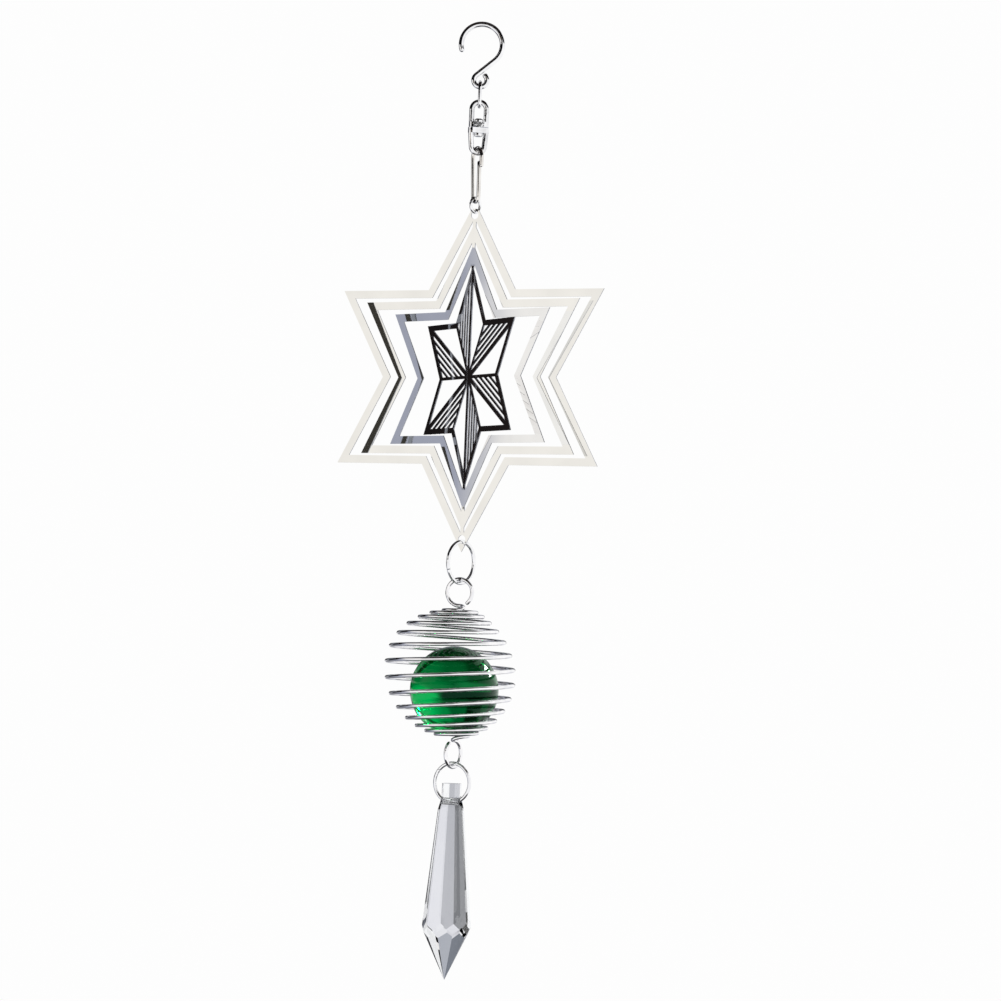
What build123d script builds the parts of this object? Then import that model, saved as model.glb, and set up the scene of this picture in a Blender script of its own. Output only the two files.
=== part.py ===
"""Hanging wind spinner: hook, swivel, twisted mirror star, caged glass ball and crystal drop.

Millimetres, +Z up.  The origin is the hang point, at the inner top of the hook's loop, and
the whole chain hangs straight down the Z axis from there.  +X is to the right as the star
faces the viewer and -Y is towards the viewer.
"""

from build123d import *
from math import acos, asin, atan2, cos, degrees, hypot, pi, radians, sin, sqrt, tan
import os

# ---------------------------------------------------------------- driving dimensions
CONTACT = 0.05  # play between two pieces that hang on each other
RING_SPLIT = 0.25  # butt joint of a split ring

HOOK_WIRE = 1.5
HOOK_LOOP_R = 5.8  # centre line of the large loop
HOOK_EYE_R = 1.85
HOOK_EYE_Z = -15.15
HOOK_TIP_ANGLE = 196  # where the open end is, in degrees round the loop from +X
HOOK_EYE_END = 405  # where the eye's end is, in degrees round the eye

LINK_WIRE = 1.0
LINK_R = 1.6

BAIL_WIRE = 1.5
BAR_HEIGHT = 1.5
BAR_DEPTH = 2.6
BAR_GAP = 0.15  # between the two bails' base bars
TOP_BAIL_R = 2.05
TOP_BAIL_Z = -21.35  # centre line of the bail's top
TOP_BAR_Z = -28.5  # underside of the top bail's bar
BOTTOM_BAIL_HALF = 2.25  # half width of the bottom bail at its bar
BOTTOM_BAIL_R = 1.85
BOTTOM_BAIL_Z = -35.75  # centre line of the bail's bottom
BOTTOM_BAIL_TURN = 14  # turn of the bottom bail about the rivet
RIVET_D = 1.2
RIVET_HEAD_D = 2.4
RIVET_HEAD = 0.95
RIVET_FIT = 0.03  # clearance round the rivet in the top bail, which it is set in
RIVET_PLAY = 0.1  # clearance round it and under it in the bottom bail, which spins

CLIP_WIRE = 1.15
CLIP_TOP_R = 2.6
CLIP_BOTTOM_R = 1.6
CLIP_NOSE_Z = -39.4  # end of the clip's nose
CLIP_GATE_Z = -38.6  # end of the spring gate, just inside the nose
CLIP_GATE_LEAN = 1.6
CLIP_TURN = -62  # turn of the clip's plane about Z

JUMP_WIRE = 0.85
JUMP_OD = 4.9
JUMP_TURN = 50

STAR_Z = -99.1
STAR_R = 49.3  # centre to tip of the outer star, 85 mm across its side tips
SHEET = 0.3
BAND = 2.2
SLIT = 0.8
NECK = 1.1
NECK_GAP = 0.02
HOLE_R = 1.2
HOLE_FROM_TIP = 3.5
STAR_TURNS = (-30.7, -36.7, -47.4, -62.8)  # twist of each star about Z, outermost first
PANEL_BORDER = 1.55
TIP_SPOKE = 1.3
CORNER_SPOKE = 0.9
HUB_R = 2.1
STRIPE = 0.7
STRIPE_PITCH = 1.5
STRIPES = 4

RING_WIRE = 1.05
RING_OD = 12.7
RING_TURN = 52

CAGE_WIRE = 1.1
CAGE_EYE_R = 3.75
CAGE_EYE_SWEEP = 320
CAGE_TOP_EYE_TURN = -21
CAGE_BOTTOM_EYE_TURN = 56
CAGE_R = 17.9  # largest centre-line radius of the spiral
CAGE_END_R = 3.7
CAGE_HEIGHT = 35.2  # from the first turn to the last
CAGE_DROP = 1.3  # from an eye to the first turn beside it
CAGE_LEAD = 1.0  # straight start of the wire that leaves an eye
CAGE_TURNS = 14
CAGE_STEPS = 10  # straight runs in one turn
CAGE_EASE = 0.25  # how much wider the turns are spaced at the equator
CAGE_BOW = (-1.85, -0.9)  # sideways bow of the coil: its middle, then its top against its foot
CAGE_LEAN = (0.03, -0.03)  # slope of its turns from left to right, in the same two parts
BALL_D = 25
BALL_X = -0.45  # the ball lies a little to the left in the bowed coil
BALL_PLAY = 0.08

CRYSTAL_RING_WIRE = 1.0
CRYSTAL_RING_OD = 12.0
CRYSTAL_TURN = -28  # plane of the ring, and the direction of the crystal's hole

CRYSTAL_LENGTH = 55
CRYSTAL_NECK_R = 2.8  # centre to corner of each octagon
CRYSTAL_SHOULDER_R = 3.7
CRYSTAL_GIRDLE_R = 6.9
CRYSTAL_HOLE_R = 1.15
CRYSTAL_HOLE_REACH = 2.9  # from the crystal's middle to the mouth of its hole
CRYSTAL_HOLE_DROP = 5.1  # below the crystal's flat top
CRYSTAL_NECK_DROP = 4.0
CRYSTAL_SHOULDER_DROP = 7.4
CRYSTAL_GIRDLE_DROP = 40.2
CRYSTAL_POINT_R = 7.3  # octagon of the lower point, in line with the girdle

os.makedirs("parts", exist_ok=True)


def save(piece, label):
    """Names a finished piece and writes it."""
    piece.part.label = label
    export_step(piece.part, f"parts/{label}.step")


def upright(turn, z):
    """A vertical plane through the Z axis, its x turned from +X and its y along +Z."""
    angle = radians(turn)
    return Plane((0, 0, z), x_dir=(cos(angle), sin(angle), 0), z_dir=(sin(angle), -cos(angle), 0))


def level(turn, z):
    """A horizontal plane, its x turned from +X."""
    return Plane((0, 0, z), x_dir=(cos(radians(turn)), sin(radians(turn)), 0), z_dir=(0, 0, 1))


def hung(z, upper_wire, lower_wire):
    """Top centre line of a loop that hangs on wire whose centre line is at z."""
    return z + upper_wire / 2 + lower_wire / 2 + CONTACT


def split_ring(plane, outer_diameter, wire, split_angle):
    """A closed wire ring with a fine butt joint."""
    radius = (outer_diameter - wire) / 2
    with BuildPart(plane) as ring:
        Torus(radius, wire / 2)
        with PolarLocations(radius, 1, start_angle=split_angle):
            Box(2 * wire, RING_SPLIT, 2 * wire, mode=Mode.SUBTRACT)
    return ring


# ---------------------------------------------------------------- hook
loop_z = HOOK_WIRE / 2 - HOOK_LOOP_R
crossing = degrees(asin((HOOK_LOOP_R + HOOK_EYE_R) / (loop_z - HOOK_EYE_Z)))
eye_bottom = HOOK_EYE_Z - HOOK_EYE_R

with BuildPart() as s_hook:
    with BuildLine(Plane.XZ) as hook_line:
        loop = CenterArc((0, loop_z), HOOK_LOOP_R, HOOK_TIP_ANGLE, -HOOK_TIP_ANGLE - crossing)
        eye = CenterArc((0, HOOK_EYE_Z), HOOK_EYE_R, 180 - crossing, HOOK_EYE_END - 180 + crossing)
        Line(loop @ 1, eye @ 0)
    with BuildSketch(Plane(origin=loop @ 0, z_dir=loop % 0)):
        Circle(HOOK_WIRE / 2)
    sweep(path=hook_line.wires()[0])
    with Locations(loop @ 0, eye @ 1):
        Sphere(HOOK_WIRE / 2)
save(s_hook, "s_hook")


# ---------------------------------------------------------------- hook link
link_top = hung(eye_bottom, HOOK_WIRE, LINK_WIRE)
link_bottom = TOP_BAIL_Z - (BAIL_WIRE + LINK_WIRE) / 2 - CONTACT
link_half = (link_top - link_bottom) / 2 - LINK_R

with BuildPart() as hook_link:
    with BuildLine(upright(90, (link_top + link_bottom) / 2)) as link_line:
        side = Line((-LINK_R, link_half), (-LINK_R, -link_half))
        CenterArc((0, -link_half), LINK_R, 180, 180)
        Line((LINK_R, -link_half), (LINK_R, link_half))
        CenterArc((0, link_half), LINK_R, 0, 180)
    with BuildSketch(Plane(origin=side @ 0, z_dir=side % 0)):
        Circle(LINK_WIRE / 2)
    sweep(path=link_line.wires()[0])
save(hook_link, "hook_link")


# ---------------------------------------------------------------- swivel
top_bar_mid = TOP_BAR_Z + BAR_HEIGHT / 2
bottom_bar_top = TOP_BAR_Z - BAR_GAP
bottom_bar_mid = bottom_bar_top - BAR_HEIGHT / 2

with BuildPart() as swivel_top_bail:
    with BuildLine(Plane.XZ) as top_line:
        arch_z = TOP_BAIL_Z - TOP_BAIL_R
        foot = Line((TOP_BAIL_R, top_bar_mid), (TOP_BAIL_R, arch_z))
        CenterArc((0, arch_z), TOP_BAIL_R, 0, 180)
        Line((-TOP_BAIL_R, arch_z), (-TOP_BAIL_R, top_bar_mid))
    with BuildSketch(Plane(origin=foot @ 0, z_dir=foot % 0)):
        Circle(BAIL_WIRE / 2)
    sweep(path=top_line.wires()[0])
    with BuildSketch(Plane.XY.offset(TOP_BAR_Z)):
        SlotOverall(2 * TOP_BAIL_R + BAIL_WIRE, BAR_DEPTH)
    extrude(amount=BAR_HEIGHT)
    with Locations((0, 0, top_bar_mid)):
        Hole(RIVET_D / 2 + RIVET_FIT, depth=BAR_HEIGHT)
save(swivel_top_bail, "swivel_top_bail")

bowl_z = BOTTOM_BAIL_Z + BOTTOM_BAIL_R
bar_rise = bottom_bar_mid - bowl_z
bar_angle = degrees(atan2(bar_rise, BOTTOM_BAIL_HALF))
bowl_start = 180 - bar_angle + degrees(acos(BOTTOM_BAIL_R / hypot(BOTTOM_BAIL_HALF, bar_rise)))

with BuildPart() as swivel_bottom_bail:
    with BuildLine(upright(BOTTOM_BAIL_TURN, 0)) as bottom_line:
        bowl = CenterArc((0, bowl_z), BOTTOM_BAIL_R, bowl_start, 540 - 2 * bowl_start)
        leg = Line((-BOTTOM_BAIL_HALF, bottom_bar_mid), bowl @ 0)
        Line(bowl @ 1, (BOTTOM_BAIL_HALF, bottom_bar_mid))
    with BuildSketch(Plane(origin=leg @ 0, z_dir=leg % 0)):
        Circle(BAIL_WIRE / 2)
    sweep(path=bottom_line.wires()[0])
    with BuildSketch(level(BOTTOM_BAIL_TURN, bottom_bar_top)):
        SlotOverall(2 * BOTTOM_BAIL_HALF + BAIL_WIRE, BAR_DEPTH)
    extrude(amount=-BAR_HEIGHT)
    with Locations((0, 0, bottom_bar_mid)):
        Hole(RIVET_D / 2 + RIVET_PLAY, depth=BAR_HEIGHT)
save(swivel_bottom_bail, "swivel_bottom_bail")

upper_head_z = TOP_BAR_Z + BAR_HEIGHT
lower_head_z = bottom_bar_top - BAR_HEIGHT - RIVET_PLAY

with BuildPart() as swivel_rivet:
    with BuildSketch(Plane.XY.offset(lower_head_z)):
        Circle(RIVET_D / 2)
    extrude(amount=upper_head_z - lower_head_z)
    for head_z, direction in ((upper_head_z, 1), (lower_head_z, -1)):
        with BuildSketch(Plane.XY.offset(head_z)):
            Circle(RIVET_HEAD_D / 2)
        extrude(amount=direction * RIVET_HEAD)
    rims = swivel_rivet.edges().filter_by(GeomType.CIRCLE).sort_by(Axis.Z)
    fillet((rims[0], rims[-1]), RIVET_HEAD / 2)
save(swivel_rivet, "swivel_rivet")


# ---------------------------------------------------------------- star jump ring and snap clip
top_hole_z = STAR_Z + STAR_R - HOLE_FROM_TIP
jump_bottom = top_hole_z + HOLE_R - CONTACT - JUMP_WIRE / 2
jump_top = jump_bottom + JUMP_OD - JUMP_WIRE
star_jump_ring = split_ring(upright(JUMP_TURN, (jump_top + jump_bottom) / 2), JUMP_OD, JUMP_WIRE, 160)
save(star_jump_ring, "star_jump_ring")

clip_top = hung(BOTTOM_BAIL_Z, BAIL_WIRE, CLIP_WIRE)
clip_bottom = jump_top - (CLIP_WIRE + JUMP_WIRE) / 2 - CONTACT
clip_head_z = clip_top - CLIP_TOP_R
clip_toe_z = clip_bottom + CLIP_BOTTOM_R
clip_taper = degrees(asin((CLIP_TOP_R - CLIP_BOTTOM_R) / (clip_head_z - clip_toe_z)))

with BuildPart() as snap_clip:
    with BuildLine(upright(CLIP_TURN, 0)) as clip_line:
        nose = Line((CLIP_TOP_R, CLIP_NOSE_Z), (CLIP_TOP_R, clip_head_z))
        head = CenterArc((0, clip_head_z), CLIP_TOP_R, 0, 180 + clip_taper)
        toe_sweep = 180 - clip_taper + CLIP_GATE_LEAN
        toe = CenterArc((0, clip_toe_z), CLIP_BOTTOM_R, 180 + clip_taper, toe_sweep)
        Line(head @ 1, toe @ 0)
        gate = PolarLine(toe @ 1, CLIP_GATE_Z - clip_toe_z, 90 + CLIP_GATE_LEAN)
    with BuildSketch(Plane(origin=nose @ 0, z_dir=nose % 0)):
        Circle(CLIP_WIRE / 2)
    sweep(path=clip_line.wires()[0])
    with Locations(nose @ 0, gate @ 1):
        Sphere(CLIP_WIRE / 2)
save(snap_clip, "snap_clip")


# ---------------------------------------------------------------- star
def star_outline(tip_r, flat=0):
    """Corners of a six-pointed star; its top and bottom tips end in a flat this wide."""
    corners = []
    for k in range(12):
        angle = radians(90 + 30 * k)
        radius = tip_r / sqrt(3) if k % 2 else tip_r
        if flat and k in (0, 6):
            height = (tip_r - flat / 2 / tan(radians(30))) * (1 if k == 0 else -1)
            side = flat / 2 if k == 0 else -flat / 2
            corners += [(side, height), (-side, height)]
        else:
            corners.append((radius * cos(angle), radius * sin(angle)))
    return corners


def star_band(turn, tip_r, flat):
    """One star-shaped ring of the sheet, with the roots of its necks left in its window."""
    with BuildPart() as band:
        with BuildSketch(upright(turn, STAR_Z)):
            Polygon(*star_outline(tip_r, flat), align=None)
            Polygon(*star_outline(tip_r - 2 * BAND, NECK), align=None, mode=Mode.SUBTRACT)
        extrude(amount=SHEET / 2, both=True)
    return band


def neck_pair(turn, tip_r):
    """The two short uncut bridges between one star and the next one in."""
    root = tip_r - 2 * BAND - NECK / 2 / tan(radians(30))
    length = 2 * SLIT - NECK_GAP
    with BuildPart() as necks:
        with BuildSketch(upright(turn, STAR_Z)):
            with Locations((0, root - length / 2), (0, length / 2 - root)):
                Rectangle(NECK, length)
        extrude(amount=SHEET / 2, both=True)
    return necks


star_step = 2 * (BAND + SLIT)
hole_offset = STAR_R - HOLE_FROM_TIP

with BuildPart() as star_outer_frame:
    with BuildSketch(upright(STAR_TURNS[0], STAR_Z)) as frame_sketch:
        Polygon(*star_outline(STAR_R), align=None)
        fillet(frame_sketch.vertices().sort_by(Axis.Y)[-1], HOLE_FROM_TIP / 2)
        Polygon(*star_outline(STAR_R - 2 * BAND, NECK), align=None, mode=Mode.SUBTRACT)
        with Locations((0, hole_offset), (0, -hole_offset)):
            Circle(HOLE_R, mode=Mode.SUBTRACT)
    extrude(amount=SHEET / 2, both=True)
save(star_outer_frame, "star_outer_frame")

star_second_ring = star_band(STAR_TURNS[1], STAR_R - star_step, NECK)
save(star_second_ring, "star_second_ring")
star_third_ring = star_band(STAR_TURNS[2], STAR_R - 2 * star_step, NECK)
save(star_third_ring, "star_third_ring")

for step, name in enumerate(("outer", "middle", "inner")):
    save(neck_pair(STAR_TURNS[step], STAR_R - step * star_step), f"twist_necks_{name}")

panel_r = STAR_R - 3 * star_step
spoke_length = panel_r - PANEL_BORDER
corner_length = (panel_r - PANEL_BORDER) / sqrt(3)
stripe_first = TIP_SPOKE / 2 + STRIPE_PITCH - STRIPE / 2

with BuildPart() as star_center_panel:
    with BuildSketch(upright(STAR_TURNS[3], STAR_Z)):
        Polygon(*star_outline(panel_r, NECK), align=None)
        Polygon(*star_outline(panel_r - 2 * PANEL_BORDER), align=None, mode=Mode.SUBTRACT)
        with PolarLocations(spoke_length / 2, 6, start_angle=90):
            Rectangle(spoke_length, TIP_SPOKE)
        with PolarLocations(corner_length / 2, 6, start_angle=60):
            Rectangle(corner_length, CORNER_SPOKE)
        for stripe in range(STRIPES):
            distance = stripe_first + stripe * STRIPE_PITCH
            with PolarLocations(0, 6, start_angle=90):
                with Locations((panel_r / 2, distance)):
                    Rectangle(panel_r - 2 * sqrt(3) * distance - CORNER_SPOKE, STRIPE)
        Circle(HUB_R)
    extrude(amount=SHEET / 2, both=True)
save(star_center_panel, "star_center_panel")


# ---------------------------------------------------------------- ring between star and cage
bottom_hole_z = STAR_Z - hole_offset
ring_top = bottom_hole_z - HOLE_R + CONTACT + RING_WIRE / 2
ring_bottom = ring_top - RING_OD + RING_WIRE
star_to_cage_ring = split_ring(upright(RING_TURN, (ring_top + ring_bottom) / 2), RING_OD, RING_WIRE, 200)
save(star_to_cage_ring, "star_to_cage_ring")


# ---------------------------------------------------------------- spiral cage
def polar(radius, angle, z):
    """A point at this radius and angle, in degrees, round the Z axis."""
    return Vector(radius * cos(radians(angle)), radius * sin(radians(angle)), z)


def spiral_point(share):
    """The point this share of the way down the spiral, from its first turn to its last."""
    first = asin(CAGE_END_R / CAGE_R)
    eased = share - CAGE_EASE * sin(2 * pi * share) / (2 * pi)
    latitude = first + (pi - 2 * first) * eased
    z = spiral_mid + CAGE_HEIGHT / 2 * cos(latitude) / cos(first)
    point = polar(CAGE_R * sin(latitude), spiral_start - spiral_sweep * share, z)
    bow, lean = (a * sin(pi * share) + b * sin(2 * pi * share) for a, b in (CAGE_BOW, CAGE_LEAN))
    return point + Vector(bow, 0, lean * point.X)


def lead_point(turn, share, axis_z, side):
    """A point of the half circle between the axis and the turn beside an eye; side is -1 below."""
    heading = turn - side * 90 * share + (0 if side > 0 else 180)
    return polar(CAGE_END_R * sin(pi / 2 * share), heading, axis_z - side * CAGE_DROP * share**2)


def bend_radii(points):
    """The radius of each bend, as large as the runs beside it allow."""
    radii = []
    for before, corner, after in zip(points, points[1:], points[2:]):
        turn = radians((corner - before).get_angle(after - corner))
        run = min((corner - before).length, (after - corner).length)
        radii.append(0.45 * run / tan(turn / 2))
    return radii


cage_eye_top = hung(ring_bottom, RING_WIRE, CAGE_WIRE)
top_axis_z = cage_eye_top - 2 * CAGE_EYE_R
bottom_axis_z = top_axis_z - 2 * CAGE_DROP - CAGE_HEIGHT
spiral_mid = (top_axis_z + bottom_axis_z) / 2
spiral_start = CAGE_TOP_EYE_TURN - 90
spiral_sweep = 360 * CAGE_TURNS - (CAGE_BOTTOM_EYE_TURN - CAGE_TOP_EYE_TURN)
spiral_steps = round(CAGE_STEPS * spiral_sweep / 360)

cage_points = [Vector(0, 0, top_axis_z), polar(CAGE_LEAD, CAGE_TOP_EYE_TURN, top_axis_z)]
cage_points += [lead_point(CAGE_TOP_EYE_TURN, share, top_axis_z, 1) for share in (0.5, 0.75)]
cage_points += [spiral_point(step / spiral_steps) for step in range(spiral_steps + 1)]
cage_points += [lead_point(CAGE_BOTTOM_EYE_TURN, share, bottom_axis_z, -1) for share in (0.75, 0.5)]
cage_points += [polar(-CAGE_LEAD, CAGE_BOTTOM_EYE_TURN, bottom_axis_z), Vector(0, 0, bottom_axis_z)]

with BuildPart() as spiral_cage:
    with BuildLine() as cage_line:
        FilletPolyline(*cage_points, radius=bend_radii(cage_points))
    with BuildLine(upright(CAGE_TOP_EYE_TURN, top_axis_z + CAGE_EYE_R)) as top_eye_line:
        top_eye = CenterArc((0, 0), CAGE_EYE_R, 270 - CAGE_EYE_SWEEP, CAGE_EYE_SWEEP)
    with BuildLine(upright(CAGE_BOTTOM_EYE_TURN, bottom_axis_z - CAGE_EYE_R)) as bottom_eye_line:
        bottom_eye = CenterArc((0, 0), CAGE_EYE_R, 90, -CAGE_EYE_SWEEP)
    cage_path = Wire(top_eye_line.edges() + cage_line.edges() + bottom_eye_line.edges())
    with BuildSketch(Plane(origin=top_eye @ 0, z_dir=top_eye % 0)):
        Circle(CAGE_WIRE / 2)
    sweep(path=cage_path)
    with Locations(top_eye @ 0, bottom_eye @ 1):
        Sphere(CAGE_WIRE / 2)
save(spiral_cage, "spiral_cage")
print("cage wire", round(cage_path.length, 1), "mm, volume", round(spiral_cage.part.volume, 1))
print("expected volume", round(cage_path.length * pi * CAGE_WIRE**2 / 4, 1))


# ---------------------------------------------------------------- glass ball
def resting_height(point):
    """Height of the ball's centre when the ball touches the wire at this point of its centre line."""
    reach = (BALL_D + CAGE_WIRE) / 2
    return point.Z + sqrt(max(reach**2 - (point.X - BALL_X) ** 2 - point.Y**2, 0))


lower_wire = [cage_path @ (step / 4000) for step in range(2000, 4001)]
ball_z = max(resting_height(point) for point in lower_wire if point.Z < spiral_mid - BALL_D / 3) + BALL_PLAY

with BuildPart() as glass_ball:
    with Locations((BALL_X, 0, ball_z)):
        Sphere(BALL_D / 2)
save(glass_ball, "glass_ball")


# ---------------------------------------------------------------- crystal ring and crystal
bottom_eye_z = bottom_axis_z - 2 * CAGE_EYE_R
crystal_ring_top = hung(bottom_eye_z, CAGE_WIRE, CRYSTAL_RING_WIRE)
crystal_ring_bottom = crystal_ring_top - CRYSTAL_RING_OD + CRYSTAL_RING_WIRE
crystal_ring_plane = upright(CRYSTAL_TURN, (crystal_ring_top + crystal_ring_bottom) / 2)
crystal_ring = split_ring(crystal_ring_plane, CRYSTAL_RING_OD, CRYSTAL_RING_WIRE, 140)
save(crystal_ring, "crystal_ring")

crystal_ring_r = (CRYSTAL_RING_OD - CRYSTAL_RING_WIRE) / 2
ring_rise = crystal_ring_r - sqrt(crystal_ring_r**2 - CRYSTAL_HOLE_REACH**2)
crystal_hole_z = crystal_ring_bottom + ring_rise + CRYSTAL_RING_WIRE / 2 + CONTACT - CRYSTAL_HOLE_R
crystal_top = crystal_hole_z + CRYSTAL_HOLE_DROP
crystal_tip = crystal_top - CRYSTAL_LENGTH
facet_turn = CRYSTAL_TURN + 22.5


def octagon(drop, radius, turn):
    """An octagon across the crystal, this far below its top."""
    with BuildSketch(Plane.XY.offset(crystal_top - drop)) as section:
        RegularPolygon(radius, 8, rotation=turn)
    return section.sketch


side_slope = (CRYSTAL_GIRDLE_R - CRYSTAL_SHOULDER_R) / (CRYSTAL_GIRDLE_DROP - CRYSTAL_SHOULDER_DROP)
foot_r = CRYSTAL_SHOULDER_R + side_slope * (CRYSTAL_LENGTH - CRYSTAL_SHOULDER_DROP)
point_slope = CRYSTAL_POINT_R / (CRYSTAL_LENGTH - CRYSTAL_GIRDLE_DROP)

with BuildPart() as crystal_point:
    loft(sections=[
        octagon(0, point_slope * CRYSTAL_LENGTH, facet_turn + 22.5),
        Vertex(0, 0, crystal_tip),
    ])

with BuildPart() as crystal_prism:
    loft(sections=[
        octagon(0, CRYSTAL_NECK_R, facet_turn),
        octagon(CRYSTAL_NECK_DROP, CRYSTAL_NECK_R, facet_turn),
    ])
    loft(sections=[
        octagon(CRYSTAL_NECK_DROP, CRYSTAL_NECK_R, facet_turn),
        octagon(CRYSTAL_SHOULDER_DROP, CRYSTAL_SHOULDER_R, facet_turn),
    ])
    loft(sections=[
        octagon(CRYSTAL_SHOULDER_DROP, CRYSTAL_SHOULDER_R, facet_turn),
        octagon(CRYSTAL_LENGTH, foot_r, facet_turn),
    ])
    add(crystal_point.part, mode=Mode.INTERSECT)
    with Locations(Plane((0, 0, crystal_hole_z), z_dir=polar(1, CRYSTAL_TURN, 0))):
        Cylinder(CRYSTAL_HOLE_R, 4 * CRYSTAL_SHOULDER_R, mode=Mode.SUBTRACT)
save(crystal_prism, "crystal_prism")
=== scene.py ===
"""Hanging wind spinner: plated wire, mirror star, caged green glass ball and cut crystal drop.

Blender works in metres.  The wire routes below are written in millimetres and turned into metres
by the functions that build the meshes.  The chain hangs down the Z axis, and -Y faces the viewer.
"""

from math import asin, cos, degrees, pi, prod, radians, sin

import bpy
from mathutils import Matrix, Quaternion, Vector


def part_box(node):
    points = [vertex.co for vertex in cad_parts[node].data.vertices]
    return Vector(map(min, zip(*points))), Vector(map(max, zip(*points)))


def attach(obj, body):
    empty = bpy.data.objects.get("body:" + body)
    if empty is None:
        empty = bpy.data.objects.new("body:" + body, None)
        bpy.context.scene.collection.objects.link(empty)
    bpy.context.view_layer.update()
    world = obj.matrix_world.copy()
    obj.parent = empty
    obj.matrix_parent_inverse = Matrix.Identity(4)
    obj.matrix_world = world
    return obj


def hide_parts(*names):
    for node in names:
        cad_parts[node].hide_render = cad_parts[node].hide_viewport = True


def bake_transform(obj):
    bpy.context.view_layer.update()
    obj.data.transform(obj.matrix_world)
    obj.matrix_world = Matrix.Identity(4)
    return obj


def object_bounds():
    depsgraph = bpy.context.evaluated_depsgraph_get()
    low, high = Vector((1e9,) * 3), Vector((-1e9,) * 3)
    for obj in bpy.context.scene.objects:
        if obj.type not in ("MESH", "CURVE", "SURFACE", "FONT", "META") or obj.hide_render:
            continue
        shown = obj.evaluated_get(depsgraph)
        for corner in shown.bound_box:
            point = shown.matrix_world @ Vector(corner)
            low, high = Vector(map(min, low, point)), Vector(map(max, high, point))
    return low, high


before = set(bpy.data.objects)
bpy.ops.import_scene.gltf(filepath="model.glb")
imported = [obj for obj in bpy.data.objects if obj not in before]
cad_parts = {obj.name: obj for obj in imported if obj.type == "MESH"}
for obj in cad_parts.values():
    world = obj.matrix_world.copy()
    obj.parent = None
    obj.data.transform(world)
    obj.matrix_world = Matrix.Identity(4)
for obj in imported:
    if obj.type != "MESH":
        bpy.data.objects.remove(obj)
cad_low, cad_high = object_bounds()
MM = 0.001


# ---------------------------------------------------------------- routes, in millimetres
def low(name):
    """Lowest corner of a CAD node."""
    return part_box(name)[0] / MM


def high(name):
    """Highest corner of a CAD node."""
    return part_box(name)[1] / MM


def upright(turn, x, z):
    """A point of the vertical plane through the Z axis whose x is turned this far from +X."""
    return Vector((x * cos(radians(turn)), x * sin(radians(turn)), z))


def arc(turn, x, z, radius, start, sweep, step=4):
    """Points of an arc in that plane, round (x, z)."""
    count = max(3, round(abs(sweep) / step))
    angles = [radians(start + sweep * k / count) for k in range(count + 1)]
    return [upright(turn, x + radius * cos(a), z + radius * sin(a)) for a in angles]


def straight(start, end, count=6):
    """Points between two others, without either of them."""
    return [start.lerp(end, k / count) for k in range(1, count)]


def ease(share):
    """A share from 0 to 1 that starts and ends gently."""
    return share * share * (3 - 2 * share)


def polar(radius, angle, z):
    """A point at this radius and angle, in degrees, round the Z axis."""
    return Vector((radius * cos(radians(angle)), radius * sin(radians(angle)), z))


# ---------------------------------------------------------------- meshes
ROUND_END = (18, 36, 54, 70, 82, 88)  # degrees up a wire's rounded end at which it has a ring
CUT_END = ((0.05, 0.99), (0.1, 0.95), (0.12, 0.88))  # (out, reach) of a cut end's rings, in radii
RING_SPLIT = 0.3  # gap in a split ring


def mesh_piece(name, points, faces, uvs, smooth=True):
    """An object from points in millimetres, with one UV for each corner of each face."""
    mesh = bpy.data.meshes.new(name)
    mesh.from_pydata([p * MM for p in points], [], faces)
    layer = mesh.uv_layers.new(name="UVMap")
    flat = [value for face in uvs for uv in face for value in uv]
    layer.data.foreach_set("uv", flat)
    mesh.polygons.foreach_set("use_smooth", [smooth] * len(faces))
    mesh.update()
    piece = bpy.data.objects.new(name, mesh)
    bpy.context.scene.collection.objects.link(piece)
    return piece


def headings(route, closed):
    """The direction of a route at each of its points."""
    count = len(route)
    found = []
    for k in range(count):
        before = route[k - 1] if closed or k else route[0]
        after = route[(k + 1) % count] if closed or k < count - 1 else route[k]
        found.append((after - before).normalized())
    return found


def tube(name, route, diameter, closed=False, round_ends=True, sides=36):
    """A round wire along a route, its UV once round the wire and in millimetres along it."""
    radius = diameter / 2
    forward = headings(route, closed)
    across = (route[len(route) // 4] - route[0]).cross(route[len(route) // 2] - route[0])
    across = (across - forward[0] * across.dot(forward[0])).normalized()
    rings = []
    length = 0
    for k, centre in enumerate(route):
        if k:
            across = forward[k - 1].rotation_difference(forward[k]) @ across
            length += (centre - route[k - 1]).length
        rings.append((centre, forward[k], across.copy(), radius, length))
    if not closed:
        near_end = end_rings(rings[0], -1, round_ends)
        far_end = end_rings(rings[-1], 1, round_ends)
        rings = near_end[::-1] + rings + far_end
    points, faces, uvs = [], [], []
    for centre, ahead, side, reach, _ in rings:
        other = ahead.cross(side)
        for k in range(sides):
            angle = 2 * pi * k / sides
            points.append(centre + (side * cos(angle) + other * sin(angle)) * reach)
    spans = len(rings) if closed else len(rings) - 1
    for ring in range(spans):
        after = (ring + 1) % len(rings)
        near, far = rings[ring][4], rings[after][4]
        if after == 0:
            far = near + (rings[0][0] - rings[-1][0]).length
        for k in range(sides):
            beside = (k + 1) % sides
            here, there = ring * sides, after * sides
            faces.append((here + k, here + beside, there + beside, there + k))
            u, v = k / sides, (k + 1) / sides
            uvs.append(((u, near), (v, near), (v, far), (u, far)))
    if not closed:
        last = (len(rings) - 1) * sides
        faces.append(tuple(range(sides))[::-1])
        faces.append(tuple(range(last, last + sides)))
        uvs.append([(0.5, rings[0][4])] * sides)
        uvs.append([(0.5, rings[-1][4])] * sides)
    return mesh_piece(name, points, faces, uvs)


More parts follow.
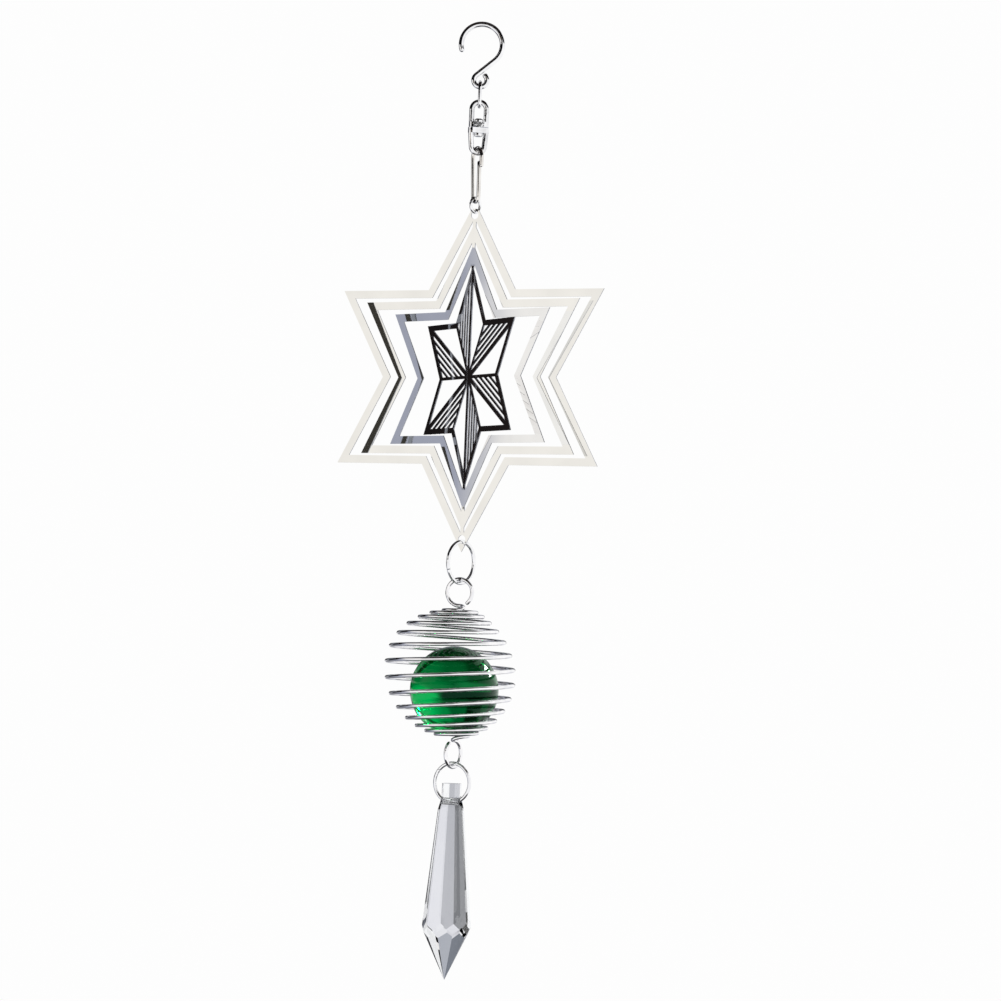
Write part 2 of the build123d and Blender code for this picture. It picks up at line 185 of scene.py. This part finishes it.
def end_rings(ring, side, rounded):
    """Rings that close a wire's end: a half round, or a cut face with a broken edge."""
    centre, ahead, across, radius, length = ring
    if rounded:
        steps = [(radius * sin(radians(a)), radius * cos(radians(a))) for a in ROUND_END]
    else:
        steps = [(out * radius, reach * radius) for out, reach in CUT_END]
    return [
        (centre + ahead * side * out, ahead, across, reach, length + side * out)
        for out, reach in steps
    ]


def wire(name, body, slot, route, diameter, **how):
    """A wire piece that rides on a body and stands for the CAD node of the same name."""
    piece = tube(name + "_wire", route, diameter, **how)
    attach(piece, body)
    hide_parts(name)
    return piece


def split_ring(name, body, turn, diameter, split):
    """A ring of butted wire, filling its CAD node's height and split at this angle round it."""
    top, bottom = high(name).z, low(name).z
    radius = (top - bottom - diameter) / 2
    gap = degrees(RING_SPLIT / radius)
    route = arc(turn, 0, (top + bottom) / 2, radius, split + gap / 2, 360 - gap)
    return wire(name, body, "ring_chrome", route, diameter, round_ends=False)


# ---------------------------------------------------------------- hook, link, clip and rings
HOOK_WIRE, HOOK_LOOP_R, HOOK_EYE_R = 1.5, 5.8, 1.85
HOOK_TIP = 196  # where the loop's open tip is, in degrees round the loop
HOOK_EYE_SWEEP = 225  # how far the eye bends, in degrees, past the level of its centre
LINK_WIRE, LINK_R = 1.0, 1.6
CLIP_WIRE, CLIP_HEAD_R, CLIP_TOE_R = 1.15, 2.6, 1.6
CLIP_TURN, CLIP_LEAN = -62, 1.6  # the clip's plane about Z, and the gate's slope, in degrees
CLIP_NOSE_DROP, CLIP_GATE_DROP = 2.425, 1.625  # their ends below the head's centre


def hook_route():
    """The S-hook's centre line, from the open tip of its loop to the end of its eye."""
    loop_z = high("s_hook").z - HOOK_WIRE / 2 - HOOK_LOOP_R
    eye_z = low("s_hook").z + HOOK_WIRE / 2 + HOOK_EYE_R
    crossing = degrees(asin((HOOK_LOOP_R + HOOK_EYE_R) / (loop_z - eye_z)))
    loop = arc(0, 0, loop_z, HOOK_LOOP_R, HOOK_TIP, -HOOK_TIP - crossing)
    eye = arc(0, 0, eye_z, HOOK_EYE_R, 180 - crossing, HOOK_EYE_SWEEP + crossing)
    return loop + straight(loop[-1], eye[0]) + eye


def link_route():
    """The straight-sided link under the hook."""
    top_z = high("hook_link").z - LINK_WIRE / 2 - LINK_R
    bottom_z = low("hook_link").z + LINK_WIRE / 2 + LINK_R
    bottom = arc(90, 0, bottom_z, LINK_R, 180, 180, step=8)
    top = arc(90, 0, top_z, LINK_R, 0, 180, step=8)
    return bottom + straight(bottom[-1], top[0], 4) + top + straight(top[-1], bottom[0], 4)


def clip_route():
    """The snap clip, from its open nose round its head and toe to the end of its gate."""
    head_z = high("snap_clip").z - CLIP_WIRE / 2 - CLIP_HEAD_R
    toe_z = low("snap_clip").z + CLIP_WIRE / 2 + CLIP_TOE_R
    taper = degrees(asin((CLIP_HEAD_R - CLIP_TOE_R) / (head_z - toe_z)))
    nose = upright(CLIP_TURN, CLIP_HEAD_R, head_z - CLIP_NOSE_DROP)
    head = arc(CLIP_TURN, 0, head_z, CLIP_HEAD_R, 0, 180 + taper)
    toe = arc(CLIP_TURN, 0, toe_z, CLIP_TOE_R, 180 + taper, 180 - taper + CLIP_LEAN)
    reach, lean = head_z - CLIP_GATE_DROP - toe_z, radians(CLIP_LEAN)
    gate = upright(CLIP_TURN, CLIP_TOE_R - reach * sin(lean), toe_z + reach * cos(lean))
    front = [nose] + straight(nose, head[0]) + head
    return front + straight(head[-1], toe[0]) + toe + straight(toe[-1], gate) + [gate]


hook = wire("s_hook", "hook", "hook_chrome", hook_route(), HOOK_WIRE)
link = wire("hook_link", "link", "ring_chrome", link_route(), LINK_WIRE, closed=True)
clip = wire("snap_clip", "clip", "clip_steel", clip_route(), CLIP_WIRE)
jump_ring = split_ring("star_jump_ring", "jump_ring", turn=50, diameter=0.85, split=160)
cage_ring = split_ring("star_to_cage_ring", "cage_hanger", turn=52, diameter=1.05, split=200)
crystal_ring = split_ring("crystal_ring", "crystal_hanger", turn=-28, diameter=1.0, split=140)


# ---------------------------------------------------------------- spiral cage
CAGE_WIRE, CAGE_EYE_R = 1.1, 3.75
CAGE_R, CAGE_END_R = 17.9, 3.7  # of the spiral at its middle and at its ends
CAGE_DROP = 1.3  # height of the lead from an eye to the spiral
CAGE_TURNS, CAGE_EASE = 14, 0.25  # the spiral's turns, and how much closer they are at its ends
CAGE_BOW, CAGE_LEAN = (-1.85, -0.9), (0.03, -0.03)  # of half and whole sine waves down the cage
TOP_EYE, BOTTOM_EYE, CAGE_EYE_SWEEP = -21, 56, 320  # the eyes' planes about Z, and their bend
SPIRAL_STEPS, LEAD_STEPS = 900, 16


def cage_route():
    """The cage's one wire: the upper eye, the spiral over the ball, and the lower eye."""
    upper = high("spiral_cage").z - CAGE_WIRE / 2 - 2 * CAGE_EYE_R
    lower = low("spiral_cage").z + CAGE_WIRE / 2 + 2 * CAGE_EYE_R
    middle = (upper + lower) / 2
    reach = (upper - lower) / 2 - CAGE_DROP
    first = asin(CAGE_END_R / CAGE_R)
    start = TOP_EYE - 90
    sweep = 360 * CAGE_TURNS - (BOTTOM_EYE - TOP_EYE)

    def turn_point(share):
        eased = share - CAGE_EASE * sin(2 * pi * share) / (2 * pi)
        latitude = first + (pi - 2 * first) * eased
        height = middle + reach * cos(latitude) / cos(first)
        point = polar(CAGE_R * sin(latitude), start - sweep * share, height)
        bow, lean = (
            half * sin(pi * share) + whole * sin(2 * pi * share)
            for half, whole in (CAGE_BOW, CAGE_LEAN)
        )
        return point + Vector((bow, 0, lean * point.x))

    def lead(share, heading, axis_z, side):
        height = axis_z - side * CAGE_DROP * ease(share)
        return polar(CAGE_END_R * sin(pi / 2 * share), heading - side * 90 * share, height)

    shares = [k / LEAD_STEPS for k in range(1, LEAD_STEPS)]
    turns = [turn_point(k / SPIRAL_STEPS) for k in range(SPIRAL_STEPS + 1)]
    open_end = 270 - CAGE_EYE_SWEEP
    top_eye = arc(TOP_EYE, 0, upper + CAGE_EYE_R, CAGE_EYE_R, open_end, CAGE_EYE_SWEEP)
    bottom_eye = arc(BOTTOM_EYE, 0, lower - CAGE_EYE_R, CAGE_EYE_R, 90, -CAGE_EYE_SWEEP)
    top_lead = [lead(share, TOP_EYE, upper, 1) for share in shares]
    bottom_lead = [lead(share, BOTTOM_EYE + 180, lower, -1) for share in reversed(shares)]
    return top_eye + top_lead + turns + bottom_lead + bottom_eye


cage = wire("spiral_cage", "cage", "cage_chrome", cage_route(), CAGE_WIRE, sides=28)


# ---------------------------------------------------------------- twisted necks of the star
STAR_TURNS = (-30.7, -36.7, -47.4, -62.8)
STAR_NODES = ("star_outer_frame", "star_second_ring", "star_third_ring", "star_center_panel")
NECK, SHEET, NECK_STEPS = 1.1, 0.3, 12


def twisted_neck(name, upper, lower, turn_above, turn_below):
    """A strip of the sheet between two heights, twisted from one plane to another."""
    corners = ((-1, -1), (1, -1), (1, 1), (-1, 1))
    points, faces, uvs = [], [], []
    for k in range(NECK_STEPS + 1):
        share = k / NECK_STEPS
        turn = turn_above + (turn_below - turn_above) * ease(share)
        z = upper + (lower - upper) * share
        for x, y in corners:
            flat = upright(turn, x * NECK / 2, z)
            points.append(flat + upright(turn + 90, y * SHEET / 2, 0))
    for k in range(NECK_STEPS):
        for corner in range(4):
            a, b = 4 * k + corner, 4 * k + (corner + 1) % 4
            faces.append((a, a + 4, b + 4, b))
            uvs.append([(0, 0), (0, 1), (1, 1), (1, 0)])
    faces += [(0, 1, 2, 3), tuple(4 * NECK_STEPS + c for c in (3, 2, 1, 0))]
    uvs += [[(0, 0), (1, 0), (1, 1), (0, 1)]] * 2
    return mesh_piece(name, points, faces, uvs, smooth=False)


necks = []
for level, place in enumerate(("outer", "middle", "inner")):
    node = "twist_necks_" + place
    outer_turn, inner_turn = STAR_TURNS[level], STAR_TURNS[level + 1]
    for end, edge in (("top", high), ("bottom", low)):
        root, tip = edge(node).z, edge(STAR_NODES[level + 1]).z
        name = f"twist_neck_{place}_{end}"
        if end == "top":
            neck = twisted_neck(name, root, tip, outer_turn, inner_turn)
        else:
            neck = twisted_neck(name, tip, root, inner_turn, outer_turn)
        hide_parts(node)
        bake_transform(neck)
        necks.append(neck)


# ---------------------------------------------------------------- glass ball
BALL_ROWS, BALL_SIDES = 72, 128
BALL_INSET, BALL_DEPTH = 0.05, 0.05  # depth of the skin below the CAD ball, and of its waves
BALL_WAVES = ((3, 1.3), (4, 0.4), (3.5, 2.1))  # each axis's (pitch, phase), in radians


def glass_ball():
    """A pressed glass marble: a fine round skin with the slight unevenness of moulded glass."""
    bottom, top = low("glass_ball"), high("glass_ball")
    radius, centre = (top.z - bottom.z) / 2, (top + bottom) / 2
    rows, sides, skin = BALL_ROWS, BALL_SIDES, radius - BALL_INSET
    points, faces, uvs = [], [], []
    for row in range(1, rows):
        down = pi * row / rows
        for k in range(sides):
            angle = 2 * pi * k / sides
            normal = Vector((sin(down) * cos(angle), sin(down) * sin(angle), cos(down)))
            wave = prod(sin(pitch * x + phase) for x, (pitch, phase) in zip(normal, BALL_WAVES))
            points.append(centre + normal * (skin - BALL_DEPTH * wave))
    north, south = len(points), len(points) + 1
    points += [centre + Vector((0, 0, skin)), centre - Vector((0, 0, skin))]
    for k in range(sides):
        beside = (k + 1) % sides
        faces.append((north, k, beside))
        uvs.append([(0, 1), (0, 1), (1, 1)])
        for row in range(rows - 2):
            a, b = row * sides + k, row * sides + beside
            faces.append((a, a + sides, b + sides, b))
            uvs.append([(k / sides, row / rows)] * 4)
        last = (rows - 2) * sides
        faces.append((south, last + beside, last + k))
        uvs.append([(0, 0), (0, 0), (1, 0)])
    piece = mesh_piece("green_glass_ball", points, faces, uvs)
    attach(piece, "ball")
    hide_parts("glass_ball")
    return piece


ball = glass_ball()


# ---------------------------------------------------------------- materials
def shader(name):
    """A new node material and its main shader."""
    made = bpy.data.materials.new(name)
    made.use_nodes = True
    return made, made.node_tree.nodes["Principled BSDF"]


def add(mat, kind, values=None, **settings):
    """A new node with these settings and socket values."""
    made = mat.node_tree.nodes.new("ShaderNode" + kind)
    for key, value in settings.items():
        setattr(made, key, value)
    for key, value in (values or {}).items():
        made.inputs[key].default_value = value
    return made


def join(mat, source, output, target, socket):
    """A link between two nodes."""
    mat.node_tree.links.new(source.outputs[output], target.inputs[socket])


def noise(mat, space, stretch, detail=3, roughness=0.5):
    """Noise laid out in one of the texture coordinate spaces, stretched along its axes."""
    coords = add(mat, "TexCoord")
    mapping = add(mat, "Mapping", {"Scale": stretch})
    made = add(mat, "TexNoise", {"Scale": 1, "Detail": detail, "Roughness": roughness})
    join(mat, coords, space, mapping, "Vector")
    join(mat, mapping, "Vector", made, "Vector")
    return made


def ramp(mat, source, output, stops):
    """A colour ramp with these (position, colour) stops."""
    made = add(mat, "ValToRGB")
    elements = made.color_ramp.elements
    while len(elements) < len(stops):
        elements.new(0.5)
    for element, (position, colour) in zip(elements, sorted(stops)):
        element.position = position
        element.color = (*colour, 1)
    join(mat, source, output, made, "Fac")
    return made


def rescale(mat, source, output, old, new=(0, 1)):
    """A value brought from one (low, high) range to another, and held within it."""
    limits = {"From Min": old[0], "From Max": old[1], "To Min": new[0], "To Max": new[1]}
    made = add(mat, "MapRange", limits)
    join(mat, source, output, made, "Value")
    return made


def mixed(mat, share, below, above):
    """A colour between two others, which are (node, output) pairs, by a rescaled share."""
    made = add(mat, "Mix", data_type="RGBA")
    join(mat, share, "Result", made, 0)
    join(mat, *below, made, 6)
    join(mat, *above, made, 7)
    return made, 2


def facing(mat, direction):
    """How far the surface faces a direction of the piece's own axes, from -1 to 1."""
    coords = add(mat, "TexCoord")
    made = add(mat, "VectorMath", {1: direction}, operation="DOT_PRODUCT")
    join(mat, coords, "Normal", made, 0)
    return made


def bump(mat, source, output, strength, distance, before=None):
    """A bump that follows a grey value, on top of another bump if there is one."""
    made = add(mat, "Bump", {"Strength": strength, "Distance": distance})
    join(mat, source, output, made, "Height")
    if before:
        join(mat, before, "Normal", made, "Normal")
    return made


EDGE_ROUGHNESS, FACE_ROUGHNESS = 0.38, (0.02, 0.07)  # of the mirror sheet
SHEET_WARP = 0.06
PAINTED_GLOW_SIDE = (-0.64, -0.5, -0.58)  # where on the ball the painted glow of refracted light is: low on the left, in front
FAINT_SHARE = 0.35  # how much the faint swirls count beside the painted glow
# greens from the deep glass up to the bright green of the painted glow
GLASS_GREENS = [
    (0.1, (0.0, 0.12, 0.02)), (0.25, (0.0, 0.22, 0.045)), (0.42, (0.0, 0.9, 0.16)),
    (0.85, (0.02, 1.0, 0.2)),
]


def plated_wire(name, bright, dull, roughness, waviness=0.06):
    """Bright nickel-plated wire, with faint drawing lines along it and a cloudy plating."""
    mat, main = shader(name)
    main.inputs["Metallic"].default_value = 1
    clouds = noise(mat, "Object", (260, 260, 260), 4, 0.6)
    lines = noise(mat, "UV", (46, 0.22, 1), 2, 0.5)
    colour = ramp(mat, clouds, "Fac", [(0.35, dull), (0.6, bright)])
    rough = rescale(mat, lines, "Fac", (0.3, 0.7), (roughness, roughness * 2))
    join(mat, colour, "Color", main, "Base Color")
    join(mat, rough, "Result", main, "Roughness")
    drawn = bump(mat, lines, "Fac", 0.12, 0.00002)
    dents = bump(mat, clouds, "Fac", waviness, 0.0002, drawn)
    join(mat, dents, "Normal", main, "Normal")
    return mat


def mirror_sheet(name, turn, tint):
    """Mirror-polished sheet with a slight warp, and dark laser-cut edges.

    Its flat faces are told from its edges by how far they face the sheet's normal.
    """
    mat, main = shader(name)
    main.inputs["Metallic"].default_value = 1
    size = add(mat, "Math", operation="ABSOLUTE")
    join(mat, facing(mat, (sin(radians(turn)), -cos(radians(turn)), 0)), "Value", size, 0)
    flat = rescale(mat, size, "Value", (0.55, 0.8))
    polish = noise(mat, "Object", (90, 90, 90), 3, 0.55)
    face = ramp(mat, polish, "Fac", [(0.3, [0.93 * c for c in tint]), (0.7, tint)])
    striae = noise(mat, "Object", (3000, 3000, 500), 2)
    cut = ramp(mat, striae, "Fac", [(0.35, (0.26, 0.27, 0.3)), (0.65, (0.5, 0.51, 0.56))])
    join(mat, *mixed(mat, flat, (cut, "Color"), (face, "Color")), main, "Base Color")
    smears = noise(mat, "Object", (400, 400, 60), 3)
    shine = rescale(mat, smears, "Fac", (0.3, 0.75), FACE_ROUGHNESS)
    rough = add(mat, "Mix", {"A": EDGE_ROUGHNESS})
    join(mat, flat, "Result", rough, "Factor")
    join(mat, shine, "Result", rough, "B")
    join(mat, rough, "Result", main, "Roughness")
    swell = noise(mat, "Object", (45, 45, 45), 1)
    join(mat, bump(mat, swell, "Fac", SHEET_WARP, 0.001), "Normal", main, "Normal")
    return mat


def green_glass(name):
    """Deep green glass with a painted glow of refracted light low on its left, and faint random
    swirls.
    """
    mat, main = shader(name)
    main.inputs["Transmission Weight"].default_value = 1
    main.inputs["IOR"].default_value = 1.5
    main.inputs["Roughness"].default_value = 0.0
    main.inputs["Specular Tint"].default_value = (0.12, 0.6, 0.32, 1)
    faint = noise(mat, "Object", (70, 70, 130), 2)
    # painted glow: brighter green where the ball faces low, left and front, standing in for light
    # refracted through it
    painted_glow = rescale(mat, facing(mat, PAINTED_GLOW_SIDE), "Value", (0.7, 0.97), (0, 0.7))
    both = add(mat, "Math", {1: FAINT_SHARE}, operation="MULTIPLY_ADD")
    join(mat, faint, "Fac", both, 0)
    join(mat, painted_glow, "Result", both, 2)
    colour = ramp(mat, both, "Value", GLASS_GREENS)
    join(mat, colour, "Color", main, "Base Color")
    fine = noise(mat, "Object", (180, 180, 180), 2)
    join(mat, bump(mat, fine, "Fac", 0.05, 0.0003), "Normal", main, "Normal")
    return mat


def cut_crystal(name):
    """Clear cut glass, very slightly grey, with a polished surface."""
    mat, main = shader(name)
    main.inputs["Transmission Weight"].default_value = 1
    main.inputs["IOR"].default_value = 1.52
    cloud = noise(mat, "Object", (60, 60, 60), 2)
    colour = ramp(mat, cloud, "Fac", [(0.3, (0.9, 0.91, 0.93)), (0.7, (0.97, 0.975, 0.98))])
    join(mat, colour, "Color", main, "Base Color")
    polish = noise(mat, "Object", (900, 900, 900), 2)
    rough = rescale(mat, polish, "Fac", (0, 1), (0, 0.02))
    join(mat, rough, "Result", main, "Roughness")
    return mat


def paint(piece, mat):
    """Gives a piece one material in place of any it had."""
    piece.data.materials.clear()
    piece.data.materials.append(mat)


bright_wire = plated_wire(
    "bright_plated_wire", bright=(0.95, 0.95, 0.96), dull=(0.84, 0.84, 0.86), roughness=0.025
)
cage_wire = plated_wire(
    "cage_wire", bright=(0.98, 0.97, 0.98), dull=(0.86, 0.86, 0.88), roughness=0.02, waviness=0.03
)
clip_wire = plated_wire(
    "clip_spring_wire", bright=(0.93, 0.91, 0.88), dull=(0.76, 0.73, 0.7), roughness=0.03
)
cast_metal = plated_wire(
    "cast_plated_metal", bright=(0.94, 0.94, 0.95), dull=(0.7, 0.7, 0.71), roughness=0.03,
    waviness=0.5,
)
for piece in (hook, link, jump_ring, cage_ring, crystal_ring):
    paint(piece, bright_wire)
paint(cage, cage_wire)
paint(clip, clip_wire)
for node in ("swivel_top_bail", "swivel_rivet", "swivel_bottom_bail"):
    paint(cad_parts[node], cast_metal)

STAR_TINTS = (
    (0.95, 0.94, 0.91), (0.95, 0.94, 0.91), (0.93, 0.93, 0.93), (0.9, 0.88, 0.86),
)
for node, turn, tint in zip(STAR_NODES, STAR_TURNS, STAR_TINTS):
    paint(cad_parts[node], mirror_sheet("mirror_" + node, turn, tint))
for k, neck in enumerate(necks):
    paint(neck, mirror_sheet("mirror_" + neck.name, STAR_TURNS[k // 2], STAR_TINTS[0]))
paint(ball, green_glass("green_ball_glass"))
paint(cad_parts["crystal_prism"], cut_crystal("clear_cut_crystal"))


# ---------------------------------------------------------------- studio
middle = (cad_low + cad_high) / 2
BACKDROP = (0.985, 0.985, 0.985, 1)
FLOOR_DROP, FLOOR_RADIUS, FLOOR_SIDES = 0.05, 5, 96  # the drop is from the crystal's point
FLOOR_FADE = (0.1, 0.5)  # metres from the hang point between which it turns into the backdrop


def pale_floor():
    """A wide pale floor that fades into the backdrop."""
    mesh = bpy.data.meshes.new("studio_floor")
    angles = [2 * pi * k / FLOOR_SIDES for k in range(FLOOR_SIDES)]
    height = cad_low.z - FLOOR_DROP
    ring = [(FLOOR_RADIUS * cos(a), FLOOR_RADIUS * sin(a), height) for a in angles]
    mesh.from_pydata(ring, [], [tuple(range(FLOOR_SIDES))])
    piece = bpy.data.objects.new("studio_floor", mesh)
    bpy.context.scene.collection.objects.link(piece)
    mat, main = shader("pale_floor")
    main.inputs["Base Color"].default_value = (0.93, 0.93, 0.93, 1)
    main.inputs["Roughness"].default_value = 0.9
    glow = add(mat, "Emission", {"Color": BACKDROP})
    coords = add(mat, "TexCoord")
    distance = add(mat, "VectorMath", operation="LENGTH")
    join(mat, coords, "Object", distance, 0)
    mix = add(mat, "MixShader")
    join(mat, rescale(mat, distance, "Value", FLOOR_FADE), "Result", mix, 0)
    join(mat, main, "BSDF", mix, 1)
    join(mat, glow, "Emission", mix, 2)
    join(mat, mix, "Shader", mat.node_tree.nodes["Material Output"], "Surface")
    mesh.materials.append(mat)
    piece.visible_glossy = False
    piece.visible_transmission = False


def tent_skin(rows, sides, radius):
    """Points and faces of a sphere of quads, about its own centre, in metres."""
    points, faces = [], []
    for row in range(rows + 1):
        up = pi * row / rows - pi / 2
        points += [(cos(up) * cos(a) * radius, cos(up) * sin(a) * radius, sin(up) * radius)
                   for a in (2 * pi * k / sides for k in range(sides))]
    for row in range(rows):
        for k in range(sides):
            a, b = row * sides + k, row * sides + (k + 1) % sides
            faces.append((a, b, b + sides, a + sides))
    return points, faces


def light_tent():
    """What the metal and glass reflect: a white tent close round the spinner, with dark gaps."""
    mesh = bpy.data.meshes.new("light_tent")
    points, faces = tent_skin(rows=24, sides=48, radius=TENT_RADIUS)
    mesh.from_pydata(points, [], faces)
    piece = bpy.data.objects.new("light_tent", mesh)
    piece.location = middle
    bpy.context.scene.collection.objects.link(piece)
    mat = bpy.data.materials.new("light_tent")
    mat.use_nodes = True
    mat.node_tree.nodes.remove(mat.node_tree.nodes["Principled BSDF"])
    glow = add(mat, "Emission", {"Strength": TENT_STRENGTH})
    coords = add(mat, "TexCoord")
    unit = add(mat, "VectorMath", operation="NORMALIZE")
    parts = add(mat, "SeparateXYZ")
    join(mat, coords, "Object", unit, 0)
    join(mat, unit, "Vector", parts, "Vector")
    angle = add(mat, "Math", operation="ARCTAN2")
    for socket, axis in enumerate("XY"):
        minus = add(mat, "Math", {1: -1}, operation="MULTIPLY")
        join(mat, parts, axis, minus, 0)
        join(mat, minus, "Value", angle, socket)
    turn = rescale(mat, angle, "Value", (-pi, pi))
    colour = (ramp(mat, turn, "Result", FLOOR_BANDS), "Color")
    for heights, stops in TENT_TIERS:
        above = rescale(mat, parts, "Z", heights)
        colour = mixed(mat, above, colour, (ramp(mat, turn, "Result", stops), "Color"))
    join(mat, *colour, glow, "Color")
    join(mat, glow, "Emission", mat.node_tree.nodes["Material Output"], "Surface")
    mat.cycles.emission_sampling = "NONE"
    mesh.materials.append(mat)
    piece.visible_camera = False
    piece.visible_diffuse = False
    piece.visible_shadow = False


def bands(*stops):
    """Ramp stops from (degrees to the left of the viewer's side, colour) pairs."""
    return [(angle / 360 + 0.5, colour) for angle, colour in stops]


TENT_RADIUS, TENT_STRENGTH = 0.4, 1.0
WHITE, CREAM, LILAC = (1, 1, 1), (0.915, 0.9, 0.875), (0.36, 0.38, 0.46)
BLACK, BROWN, TAN = (0.005, 0.005, 0.006), (0.03, 0.022, 0.02), (0.3, 0.23, 0.16)
OLIVE, DEEP, DUSK = (0.045, 0.043, 0.038), (0.1, 0.105, 0.12), (0.17, 0.175, 0.19)
ASH, STEEL, GREY = (0.2, 0.205, 0.22), (0.25, 0.27, 0.31), (0.48, 0.485, 0.52)
MIST, PALE, SOFT = (0.48, 0.5, 0.55), (0.8, 0.8, 0.84), (0.9, 0.9, 0.9)
LEFT_STOPS = (
    (93, CREAM), (95.5, LILAC), (102.5, LILAC), (104.5, BROWN), (134, BLACK), (138, STEEL),
    (148, STEEL), (151, OLIVE), (166, OLIVE),
)


def tier(back, *front):
    """Bands round the tent at one of the star's heights, where all left sides are alike."""
    behind = ((-180, back), (-171, back), (-158, WHITE))
    return bands(*behind, *front, *LEFT_STOPS, (169, back))


FLOOR_BANDS = bands((-180, DEEP), (-60, BLACK), (0, BROWN), (60, BLACK), (179, DEEP))
BASE_BANDS = bands(
    (-180, DEEP), (-150, DEEP), (-120, WHITE), (60, WHITE), (110, LILAC), (150, DEEP),
)
LOWER_BANDS = bands(
    (-180, GREY), (-172, GREY), (-160, PALE), (-138, PALE), (-125, WHITE), (60, WHITE),
    (110, LILAC), (140, ASH), (146, ASH), (165, ASH), (172, GREY),
)
GIRDLE_BANDS = bands(
    (-180, GREY), (-171, PALE), (-158, WHITE), (60, WHITE), (90, LILAC), (110, BLACK),
    (134, BLACK), (138, GREY), (170, PALE), (179, GREY),
)
CAGE_BANDS = bands(
    (-180, BLACK), (-171, BLACK), (-165, WHITE), (-20, WHITE), (5, PALE), (40, CREAM),
    (80, CREAM), (86, BLACK),
)
MIDDLE_BANDS = tier(DUSK, (-20, WHITE), (5, SOFT), (40, CREAM))
SHADE_BANDS = tier(MIST, (-3, WHITE), (1, BLACK), (50, BLACK), (54, CREAM))
TAN_BANDS = tier(MIST, (12, WHITE), (16, TAN), (34, TAN), (38, CREAM))
UPPER_BANDS = bands(
    (-180, DUSK), (-171, DUSK), (-158, WHITE), (-14, WHITE), (-8, BLACK), (150, BLACK),
    (156, STEEL), (179, DUSK),
)
TOP_BANDS = bands(
    (-180, GREY), (-170, WHITE), (-104, WHITE), (-98, BLACK), (150, BLACK), (172, BLACK),
    (179, GREY),
)
ZENITH_BANDS = bands((-180, BLACK), (0, BROWN), (179, BLACK))
# Each tier's bands, after the heights between which it takes over from the tier below it.
# Heights run from -1 at the tent's foot to 1 at its top, and the floor bands come first.
TENT_TIERS = (
    ((-0.78, -0.74), BASE_BANDS), ((-0.62, -0.56), LOWER_BANDS), ((-0.3, -0.26), GIRDLE_BANDS),
    ((-0.16, -0.14), CAGE_BANDS), ((-0.05, -0.03), MIDDLE_BANDS), ((0.1, 0.12), SHADE_BANDS),
    ((0.27, 0.285), TAN_BANDS), ((0.345, 0.36), SHADE_BANDS), ((0.405, 0.42), UPPER_BANDS),
    ((0.5, 0.54), TOP_BANDS), ((0.78, 0.82), ZENITH_BANDS),
)


def lamp(name, place, size, power, only=None):
    """A soft square lamp aimed at the middle of the spinner, which may light only one piece."""
    data = bpy.data.lights.new(name, "AREA")
    data.size = size
    data.energy = power
    made = bpy.data.objects.new(name, data)
    made.location = middle + Vector(place)
    made.rotation_mode = "QUATERNION"
    made.rotation_quaternion = Vector(place).to_track_quat("Z", "Y")
    made.visible_camera = False
    if only:
        lit = bpy.data.collections.new(name)
        lit.objects.link(only)
        made.light_linking.receiver_collection = lit
    bpy.context.scene.collection.objects.link(made)


def studio_world():
    """An even pale backdrop that also lights the floor."""
    world = bpy.data.worlds.new("studio_world")
    world.use_nodes = True
    back = world.node_tree.nodes["Background"]
    back.inputs["Color"].default_value = BACKDROP
    world.cycles_visibility.glossy = False
    world.cycles_visibility.transmission = False
    bpy.context.scene.world = world


CAMERA_LENS, CAMERA_ROLL = 140.7, 2.3
CAMERA_EYE, CAMERA_AIM = Vector((0.0104, -1.1, -0.168)), Vector((0.0104, 0, -0.1335))


def camera():
    """A long lens a little over a metre away, at the height of the cage, rolled slightly."""
    data = bpy.data.cameras.new("camera")
    data.lens = CAMERA_LENS
    made = bpy.data.objects.new("camera", data)
    made.location = CAMERA_EYE
    made.rotation_mode = "QUATERNION"
    level = (CAMERA_AIM - CAMERA_EYE).to_track_quat("-Z", "Y")
    made.rotation_quaternion = level @ Quaternion((0, 0, 1), radians(CAMERA_ROLL))
    bpy.context.scene.collection.objects.link(made)
    bpy.context.scene.camera = made


pale_floor()
light_tent()
studio_world()
lamp("key_lamp", place=(-0.9, -1.0, 1.0), size=0.9, power=4)
lamp("fill_lamp", place=(1.1, -0.6, 0.5), size=0.8, power=2)
lamp("ball_highlight", place=(0.275, 0.198, 0.116), size=0.1, power=1.8, only=ball)
lamp("ball_rim_light", place=(-0.196, 0.238, -0.22), size=0.08, power=0.08, only=ball)
camera()
bpy.context.scene.view_settings.view_transform = "Standard"
